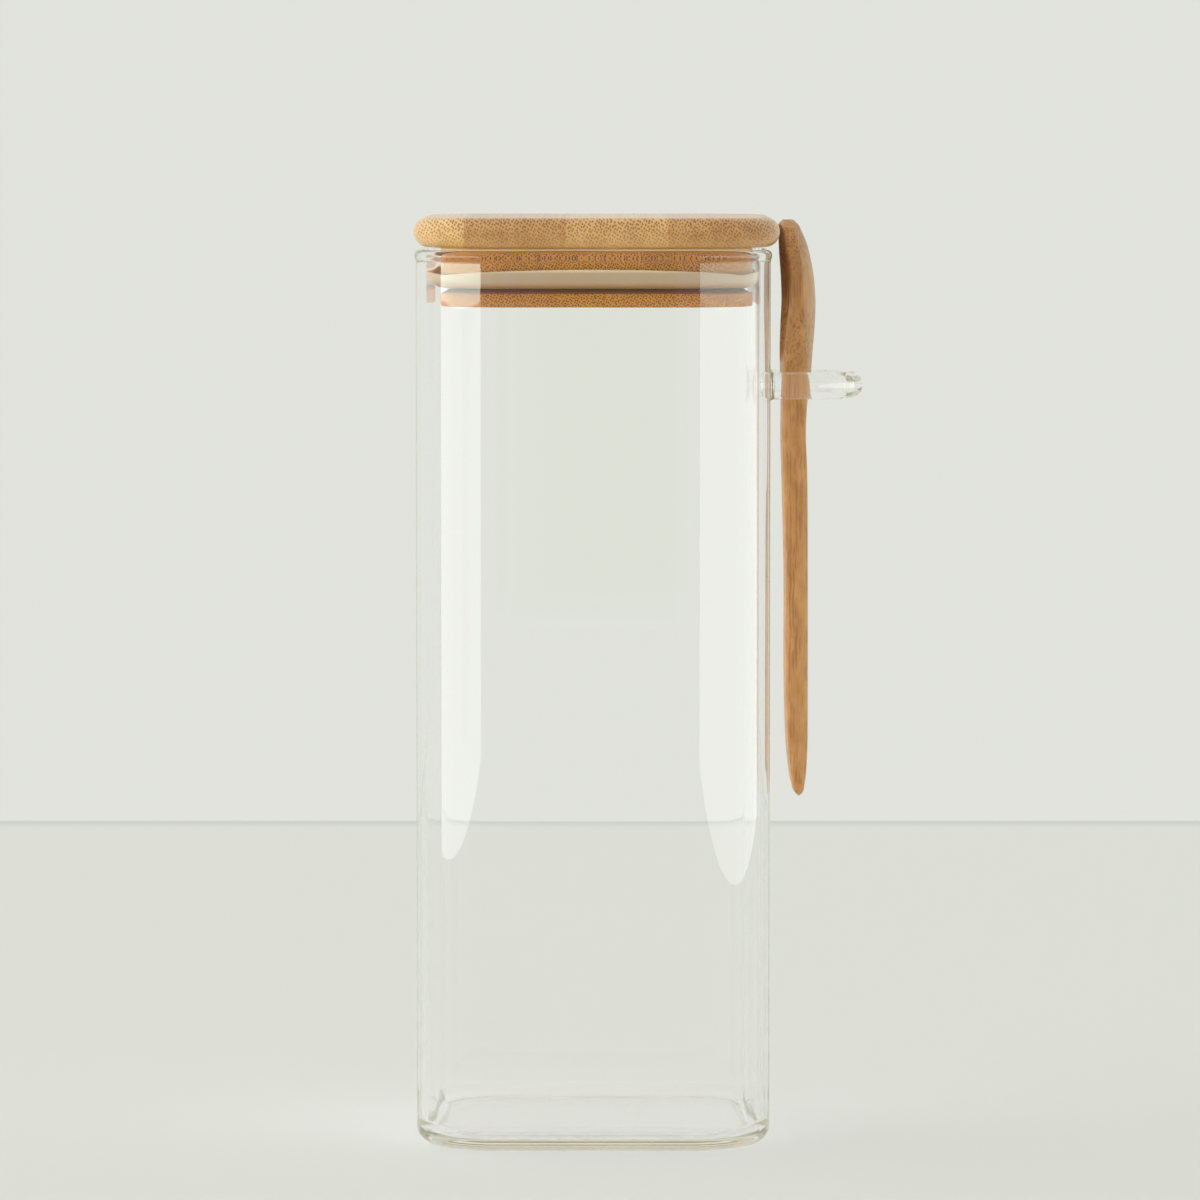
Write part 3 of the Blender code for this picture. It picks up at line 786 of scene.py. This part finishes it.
def creamSilicone():
    # Moulded silicone rubber, milky and a little translucent, with a satin skin. Where it starts it
    # is browner, partly the wood of the ply below showing through and partly painted shade, and its
    # brim is painted paler as a highlight.
    material, tree, output = newMaterial("creamSilicone")
    place = addNode(tree, "ShaderNodeTexCoord")
    cloud = addNode(tree, "ShaderNodeTexNoise", {
        "Vector": place.outputs["Object"], "Scale": silicone["cloudScale"], "Detail": 3.0,
    })
    clear, cloudy = (hexColor(code) for code in silicone["milk"])
    milk = addNode(tree, "ShaderNodeMix", {
        "Factor": cloud.outputs[0], "A": clear, "B": cloudy,
    }, data_type="RGBA")
    axes = addNode(tree, "ShaderNodeSeparateXYZ", {0: place.outputs["Object"]})
    steps = []
    for start, end in (silicone["woodAndShadeHeights"], silicone["brimHighlightHeights"]):
        steps.append(addNode(tree, "ShaderNodeMapRange", {
            "Value": axes.outputs["Z"], "From Min": start, "From Max": end,
        }, interpolation_type="SMOOTHSTEP").outputs[0])
    color = addNode(tree, "ShaderNodeMix", {
        "Factor": steps[0], "A": hexColor(silicone["woodAndShade"]), "B": milk.outputs["Result"],
    }, data_type="RGBA")
    edged = addNode(tree, "ShaderNodeMix", {
        "Factor": steps[1], "A": color.outputs["Result"], "B": hexColor(silicone["brimHighlight"]),
    }, data_type="RGBA")
    skin = addNode(tree, "ShaderNodeTexNoise", {
        "Vector": place.outputs["Object"], "Scale": silicone["skinScale"], "Detail": 2.0,
    })
    bump = addNode(tree, "ShaderNodeBump", {
        "Height": skin.outputs[0],
        "Strength": silicone["skinStrength"],
        "Distance": silicone["skinDepth"],
    })
    shader = addNode(tree, "ShaderNodeBsdfPrincipled", {
        "Base Color": edged.outputs["Result"],
        "Roughness": 0.42,
        "IOR": 1.41,
        "Subsurface Weight": 0.5,
        "Subsurface Radius": silicone["scatter"],
        "Subsurface Scale": silicone["scatterScale"],
        "Normal": bump.outputs[0],
    })
    tree.links.new(shader.outputs[0], output.inputs[0])
    return material


addPiece("silicone_seal", sealMesh(), creamSilicone(), "lid", ["seal_ring"])


# Spoon: bamboo, hanging bowl up in the loop


spoon = {
    "handleWidth": 0.011,
    "bowlWidth": 0.032,
    "depth": 0.0101,
    "hollow": 0.0058,
    "land": 0.0014,
    "edge": 0.0011,
    "turn": math.radians(3.0),
    "hollowSpan": (0.755, 0.985),
    "hollowForm": 0.72,
    "handleSteps": 110,
    "bowlSteps": 130,
    "sectionSteps": 20,
    "edgeSteps": 6,
    # rows of (place along, front, side's back edge, crown of the back, width), as shares of the
    # length, of the depth three times, and of the handle's width
    "handle": (
        (0.000, 0.545, 0.560, 0.575, 0.15),
        (0.004, 0.470, 0.600, 0.640, 0.48),
        (0.022, 0.360, 0.670, 0.720, 0.84),
        (0.051, 0.280, 0.720, 0.770, 0.97),
        (0.090, 0.215, 0.750, 0.797, 1.00),
        (0.138, 0.178, 0.755, 0.802, 1.00),
        (0.230, 0.149, 0.755, 0.802, 0.98),
        (0.380, 0.145, 0.750, 0.797, 0.93),
        (0.480, 0.108, 0.745, 0.792, 0.89),
        (0.575, 0.064, 0.725, 0.772, 0.85),
        (0.625, 0.042, 0.690, 0.735, 0.84),
        (0.672, 0.050, 0.705, 0.765, 0.88),
    ),
    # the same along the bowl, with the last column as a share of the bowl's width
    "bowl": (
        (0.708, 0.050, 0.722, 0.830, 0.330),
        (0.736, 0.050, 0.722, 0.880, 0.456),
        (0.775, 0.062, 0.670, 0.925, 0.642),
        (0.815, 0.105, 0.600, 0.980, 0.835),
        (0.863, 0.155, 0.545, 1.000, 0.985),
        (0.890, 0.145, 0.530, 0.970, 1.000),
        (0.917, 0.112, 0.510, 0.910, 0.960),
        (0.943, 0.068, 0.465, 0.822, 0.850),
        (0.959, 0.042, 0.420, 0.752, 0.745),
        (0.979, 0.018, 0.345, 0.614, 0.550),
        (0.993, 0.006, 0.290, 0.490, 0.370),
        (1.000, 0.080, 0.250, 0.360, 0.150),
    ),
}


def smoothRows(rows, places):
    # cubic curves through the rows, one for each column, whose slopes come from their neighbours
    known, values = rows[:, 0], rows[:, 1:]
    slopes = np.gradient(values, known, axis=0)
    index = np.clip(np.searchsorted(known, places) - 1, 0, len(known) - 2)
    gap = (known[index + 1] - known[index])[:, None]
    part = ((places - known[index])[:, None]) / gap
    return (
        (2 * part ** 3 - 3 * part ** 2 + 1) * values[index]
        + (part ** 3 - 2 * part ** 2 + part) * gap * slopes[index]
        + (3 * part ** 2 - 2 * part ** 3) * values[index + 1]
        + (part ** 3 - part ** 2) * gap * slopes[index + 1]
    )


def spoonMesh():
    # Level sections from the handle's end to the bowl's tip. In each, the back is a parabola
    # between the side edges, the sides are flat, the front edges are quarter circles, and the
    # hollow dips between two lands as (1 - u ** 2) raised to a share, across and along.
    low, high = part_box("spoon")
    length = high.z - low.z
    handle = np.array(spoon["handle"]) * (1, 1, 1, 1, spoon["handleWidth"])
    bowl = np.array(spoon["bowl"]) * (1, 1, 1, 1, spoon["bowlWidth"])
    neck = (handle[-1, 0] + bowl[0, 0]) / 2
    tail = neck * (1 - np.cos(np.linspace(0, quarterTurn, spoon["handleSteps"], endpoint=False)))
    head = neck + (1 - neck) * np.sin(np.linspace(0, quarterTurn, spoon["bowlSteps"] + 1))
    places = np.concatenate([tail, head])
    values = smoothRows(np.concatenate([handle, bowl]), places)
    front, side, crown = (values[:, k:k + 1] * spoon["depth"] for k in range(3))
    half = np.maximum(values[:, 3:4], 0) / 2
    first, last = spoon["hollowSpan"]
    along = np.clip(1 - ((places - (first + last) / 2) / ((last - first) / 2)) ** 2, 0, 1)
    hollow = spoon["hollow"] * along[:, None] ** spoon["hollowForm"]
    edge = np.minimum(np.minimum(spoon["edge"], half / 2), (side - front) / 2)
    inner = np.maximum(half - np.minimum(spoon["land"], half / 2) - edge / 2, 0)
    step = np.linspace(-1, 1, 2 * spoon["sectionSteps"] + 1)[None]
    turn = np.linspace(0, quarterTurn, spoon["edgeSteps"] + 1)[None]
    dip = np.sin(step[:, ::-1] * quarterTurn)
    leftX, leftY = front + edge * (1 - np.sin(turn)), half - edge * (1 - np.cos(turn))
    x = np.concatenate([
        side + (crown - side) * (1 - step ** 2),
        leftX,
        front + hollow * (1 - dip ** 2) ** spoon["hollowForm"],
        leftX[:, ::-1],
    ], axis=1) - spoon["depth"] / 2
    y = np.concatenate([half * step, leftY, inner * dip, -leftY[:, ::-1]], axis=1)
    cosine, sine = math.cos(spoon["turn"]), math.sin(spoon["turn"])
    turned = x * cosine - y * sine
    grid = np.stack([
        turned + high.x - turned.max(),
        x * sine + y * cosine,
        np.broadcast_to(low.z + places[:, None] * length, x.shape),
    ], axis=2)
    return gridMesh("spoon", grid)


spoonLook = {
    "fibre": "Z",
    "longWave": 0.014, "shortWave": 0.006, "wander": 0.0026,
    "stripWidth": 0.3, "stripShift": 0.4,
    "cellWide": 0.00095, "cellHigh": 0.00095, "jitter": 0.85,
    "denseAxis": "X", "sparseAt": 0.0630, "denseAt": 0.0530,
    "dotSize": 0.08, "dotGrowth": 0.06, "dotPatch": 0.28, "dotSoft": 0.09,
    "dotStrength": 0.45, "dotFade": 0.28,
    "stripTone": 0.0, "grain": 0.22, "streak": 1.0,
    "roughness": 0.42, "gloss": 0.5, "varnish": 0.15,
    "light": "C99153", "deep": "B57C3F", "bundle": "7E4A22",
    # the back is paler: partly the wood by the culm's hollow, partly painted light from the right
    "pithAndLight": "E8BC84", "pithAndLightShare": 0.55,
    "lightAndShadeBands": (),
    "specks": (
        (0.2195, 0.2225, 0.2325, 0.2375, 0.0020, 0.34, 0.50),
        (0.2490, 0.2535, 0.2600, 0.2612, 0.0008, 0.42, 0.75),
    ),
}
addPiece(
    "bamboo_spoon", spoonMesh(), bambooMaterial("oiledBambooSpoon", spoonLook),
    "spoon", ["spoon"],
)


# Studio: wall, floor, the panels that the glass mirrors, and the camera


studio = {
    "wallColor": "E1E3DC",
    "glow": 3.0,  # how far the broad glow on the left outshines the wall
    "glowAim": (-0.988, 0.06, 0.14),
    "glowShape": 3.0,
    "floorColor": "DBDBDA",
    # painted shade along the floor's edge at the wall
    "seamShadeColor": "CCCDC7",
    "seamShadeFade": (0.03, 0.004),  # how far before its edge the floor starts to darken and has
    "floorEdge": 0.886,  # where the floor meets the wall behind, from the jar's axis
    "floorSide": 6.0,
    "floorFront": -7.0,
    "floorDrop": 0.0002,  # keeps it clear of the jar's underside
    "boxHeight": 0.46,
    # start, end and glow of each strip's panel, how much stronger its bright band is and the
    # height where that starts at y = 0
    "leftBox": ((-0.50, -1.17), (-0.84, -0.10), 2.5, 3.1, 0.2195),
    "rightBox": ((0.33, -1.19), (0.92, 0.32), 1.95, 1.55, 0.2215),
    "bandFade": 0.0015,
    "bandTop": 0.2430,
    "bandColor": "E7FFF4",
    "boxLean": 0.0103,  # how much the band falls towards the lens
    "cardColor": "C3D3AD",
    "cardMiddle": (0.0005, -2.0, 0.116),
    "cardHalf": (0.052, 0.111),
    # across and upright, how far from its middle the card's colour starts to fade and is gone
    "cardFade": ((0.040, 0.049), (0.098, 0.108)),
    "lightTurns": 256,  # light runs along inside the glass walls for 200 turns and more
}


def studioWorld():
    # The pale wall's tone on every side. Matt surfaces also get a broad glow from the left, whose
    # strength at the angle a from its middle is glow * max(0, cos a) ** shape. Neither the lens
    # nor the glass in front of it sees that glow.
    world = bpy.data.worlds.new("studio")
    bpy.context.scene.world = world
    world.use_nodes = True
    tree = world.node_tree
    tree.nodes.clear()
    way = addNode(tree, "ShaderNodeTexCoord")
    towards = addNode(tree, "ShaderNodeVectorMath", {
        0: way.outputs["Generated"], 1: studio["glowAim"],
    }, operation="DOT_PRODUCT")
    facing = addNode(tree, "ShaderNodeMath", {
        0: towards.outputs["Value"], 1: 0.0,
    }, operation="MAXIMUM")
    lobe = addNode(tree, "ShaderNodeMath", {
        0: facing.outputs[0], 1: studio["glowShape"],
    }, operation="POWER")
    path = addNode(tree, "ShaderNodeLightPath")
    mirrored = addNode(tree, "ShaderNodeMath", {
        0: path.outputs["Is Glossy Ray"], 1: path.outputs["Is Transmission Ray"],
    }, operation="MAXIMUM")
    clear = addNode(tree, "ShaderNodeMath", {
        0: path.outputs["Is Camera Ray"], 1: mirrored.outputs[0],
    }, operation="MAXIMUM")
    matt = addNode(tree, "ShaderNodeMath", {
        0: path.outputs["Diffuse Depth"], 1: 1.0,
    }, operation="MINIMUM")
    held = addNode(tree, "ShaderNodeMath", {0: matt.outputs[0], 1: 1.0}, operation="SUBTRACT")
    share = addNode(tree, "ShaderNodeMath", {
        0: clear.outputs[0], 1: held.outputs[0], 2: 1.0,
    }, operation="MULTIPLY_ADD")
    shared = addNode(tree, "ShaderNodeMath", {
        0: lobe.outputs[0], 1: share.outputs[0],
    }, operation="MULTIPLY")
    strength = addNode(tree, "ShaderNodeMath", {
        0: shared.outputs[0], 1: studio["glow"], 2: 1.0,
    }, operation="MULTIPLY_ADD")
    light = addNode(tree, "ShaderNodeBackground", {
        "Color": hexColor(studio["wallColor"]), "Strength": strength.outputs[0],
    })
    addNode(tree, "ShaderNodeOutputWorld", {0: light.outputs[0]})


def studioFloor():
    # matt painted board, with painted shade along its far edge where it meets the wall
    material, tree, output = newMaterial("paintedFloor")
    place = addNode(tree, "ShaderNodeTexCoord")
    axes = addNode(tree, "ShaderNodeSeparateXYZ", {0: place.outputs["Object"]})
    side, front, back = studio["floorSide"], studio["floorFront"], studio["floorEdge"]
    seamShade = addNode(tree, "ShaderNodeMapRange", {
        "Value": axes.outputs["Y"],
        "From Min": back - studio["seamShadeFade"][0], "From Max": back - studio["seamShadeFade"][1],
    }, interpolation_type="SMOOTHSTEP")
    color = addNode(tree, "ShaderNodeMix", {
        "Factor": seamShade.outputs[0],
        "A": hexColor(studio["floorColor"]), "B": hexColor(studio["seamShadeColor"]),
    }, data_type="RGBA")
    mottle = addNode(tree, "ShaderNodeTexNoise", {
        "Vector": place.outputs["Object"], "Scale": 40.0, "Detail": 4.0,
    })
    bump = addNode(tree, "ShaderNodeBump", {
        "Height": mottle.outputs[0], "Strength": 0.1, "Distance": 0.0002,
    })
    shader = addNode(tree, "ShaderNodeBsdfPrincipled", {
        "Base Color": color.outputs["Result"], "Roughness": 0.8, "Normal": bump.outputs[0],
        "Specular IOR Level": 0.2,
    })
    tree.links.new(shader.outputs[0], output.inputs[0])
    mesh = bpy.data.meshes.new("floor")
    corners = [(-side, front), (side, front), (side, back), (-side, back)]
    mesh.from_pydata([(x, y, -studio["floorDrop"]) for x, y in corners], [], [(0, 1, 2, 3)])
    mesh.materials.append(material)
    floor = bpy.data.objects.new("floor", mesh)
    bpy.context.scene.collection.objects.link(floor)


def stripBox(name, start, end, glow, boost, foot):
    # An upright panel over the line from start to end that faces the jar and only draws its
    # strip in the glass. Its power is its glow times four times its area. The band that the glass
    # mirrors in front of the lid is stronger, but not for light that a matt surface has scattered.
    height = studio["boxHeight"]
    width = math.dist(start, end)
    light = bpy.data.lights.new(name, "AREA")
    light.shape = "RECTANGLE"
    light.size = width
    light.size_y = height
    light.energy = glow * 4 * width * height
    light.use_nodes = True
    tree = light.node_tree
    tree.nodes.clear()
    place = addNode(tree, "ShaderNodeNewGeometry")
    axes = addNode(tree, "ShaderNodeSeparateXYZ", {0: place.outputs["Position"]})
    leaning = addNode(tree, "ShaderNodeMath", {
        0: axes.outputs["Y"], 1: -studio["boxLean"], 2: axes.outputs["Z"],
    }, operation="MULTIPLY_ADD")
    path = addNode(tree, "ShaderNodeLightPath")
    matt = addNode(tree, "ShaderNodeMath", {
        0: path.outputs["Diffuse Depth"], 1: 1.0,
    }, operation="MINIMUM")
    mirrored = addNode(tree, "ShaderNodeMath", {0: 1.0, 1: matt.outputs[0]}, operation="SUBTRACT")
    fade, top = studio["bandFade"], studio["bandTop"]
    band = addNode(tree, "ShaderNodeMath", {
        0: heightBand(tree, leaning.outputs[0], foot, foot + fade, top - fade, top),
        1: mirrored.outputs[0],
    }, operation="MULTIPLY")
    strength = addNode(tree, "ShaderNodeMath", {
        0: band.outputs[0], 1: boost - 1.0, 2: 1.0,
    }, operation="MULTIPLY_ADD")
    tint = addNode(tree, "ShaderNodeMix", {
        "Factor": band.outputs[0], "A": (1.0, 1.0, 1.0, 1.0), "B": hexColor(studio["bandColor"]),
    }, data_type="RGBA")
    shining = addNode(tree, "ShaderNodeEmission", {
        "Color": tint.outputs["Result"], "Strength": strength.outputs[0],
    })
    addNode(tree, "ShaderNodeOutputLight", {0: shining.outputs[0]})
    lamp = bpy.data.objects.new(name, light)
    middle = np.array([(start[0] + end[0]) / 2, (start[1] + end[1]) / 2])
    run = np.array([end[0] - start[0], end[1] - start[1]]) / width
    facing = np.array([-run[1], run[0]])
    if facing @ middle > 0:
        facing = -facing
    lamp.location = (*middle, height / 2)
    lamp.rotation_euler = (quarterTurn, 0, math.atan2(facing[1], facing[0]) - quarterTurn)
    lamp.visible_camera = lamp.visible_diffuse = lamp.visible_transmission = False
    lamp.light_linking.receiver_collection = glassOnly
    bpy.context.scene.collection.objects.link(lamp)


def mirrorCard():
    # A grey-green card beside the lens with soft edges, which the flat front of the glass mirrors.
    # It is clear to every ray that hasn't been mirrored yet.
    material, tree, output = newMaterial("greyCard")
    place = addNode(tree, "ShaderNodeTexCoord")
    centred = addNode(tree, "ShaderNodeVectorMath", {
        0: place.outputs["Object"], 1: studio["cardMiddle"],
    }, operation="SUBTRACT")
    spread = addNode(tree, "ShaderNodeVectorMath", {0: centred.outputs[0]}, operation="ABSOLUTE")
    axes = addNode(tree, "ShaderNodeSeparateXYZ", {0: spread.outputs[0]})
    fades = []
    for axis, (start, end) in zip("XZ", studio["cardFade"]):
        fades.append(addNode(tree, "ShaderNodeMapRange", {
            "Value": axes.outputs[axis], "From Min": start, "From Max": end,
            "To Min": 1.0, "To Max": 0.0,
        }, interpolation_type="SMOOTHSTEP").outputs[0])
    share = addNode(tree, "ShaderNodeMath", {0: fades[0], 1: fades[1]}, operation="MULTIPLY")
    color = addNode(tree, "ShaderNodeMix", {
        "Factor": share.outputs[0],
        "A": hexColor(studio["wallColor"]), "B": hexColor(studio["cardColor"]),
    }, data_type="RGBA")
    glow = addNode(tree, "ShaderNodeEmission", {"Color": color.outputs["Result"], "Strength": 1.0})
    path = addNode(tree, "ShaderNodeLightPath")
    clear = addNode(tree, "ShaderNodeBsdfTransparent")
    mirrored = addNode(tree, "ShaderNodeMath", {
        0: path.outputs["Glossy Depth"], 1: 0.5,
    }, operation="GREATER_THAN")
    seen = addNode(tree, "ShaderNodeMixShader", {
        0: mirrored.outputs[0], 1: clear.outputs[0], 2: glow.outputs[0],
    })
    tree.links.new(seen.outputs[0], output.inputs[0])
    mesh = bpy.data.meshes.new("mirrorCard")
    depth, height = studio["cardMiddle"][1:]
    side, rise = studio["cardHalf"]
    corners = [(side, -rise), (-side, -rise), (-side, rise), (side, rise)]
    mesh.from_pydata([(x, depth, height + z) for x, z in corners], [], [(0, 1, 2, 3)])
    mesh.materials.append(material)
    card = bpy.data.objects.new("mirrorCard", mesh)
    card.visible_camera = card.visible_diffuse = card.visible_shadow = False
    bpy.context.scene.collection.objects.link(card)


lens = {
    "focal": 210,  # millimetres, on a frame 36 mm wide
    "frame": 36,
    "near": 0.05,
    "far": 40,
    "place": (0.00193, -2.0, 0.2894),
    "tip": math.atan2(480, 7000),
}


def productCamera():
    # a long lens two metres away and 289 mm up, tipped down by less than four degrees
    view = bpy.data.cameras.new("camera")
    view.lens = lens["focal"]
    view.sensor_width = lens["frame"]
    view.clip_start = lens["near"]
    view.clip_end = lens["far"]
    camera = bpy.data.objects.new("camera", view)
    camera.location = lens["place"]
    camera.rotation_euler = (quarterTurn - lens["tip"], 0, 0)
    bpy.context.scene.collection.objects.link(camera)
    bpy.context.scene.camera = camera


glassOnly = bpy.data.collections.new("glassOnly")
glassOnly.objects.link(glassPiece)
studioWorld()
studioFloor()
stripBox("stripLeft", *studio["leftBox"])
stripBox("stripRight", *studio["rightBox"])
mirrorCard()
productCamera()
bpy.context.scene.view_settings.view_transform = "Standard"
cycles = bpy.context.scene.cycles
for limit in ("max_bounces", "transmission_bounces", "glossy_bounces"):
    setattr(cycles, limit, studio["lightTurns"])
print("studio: lit")

bpy.context.view_layer.update()
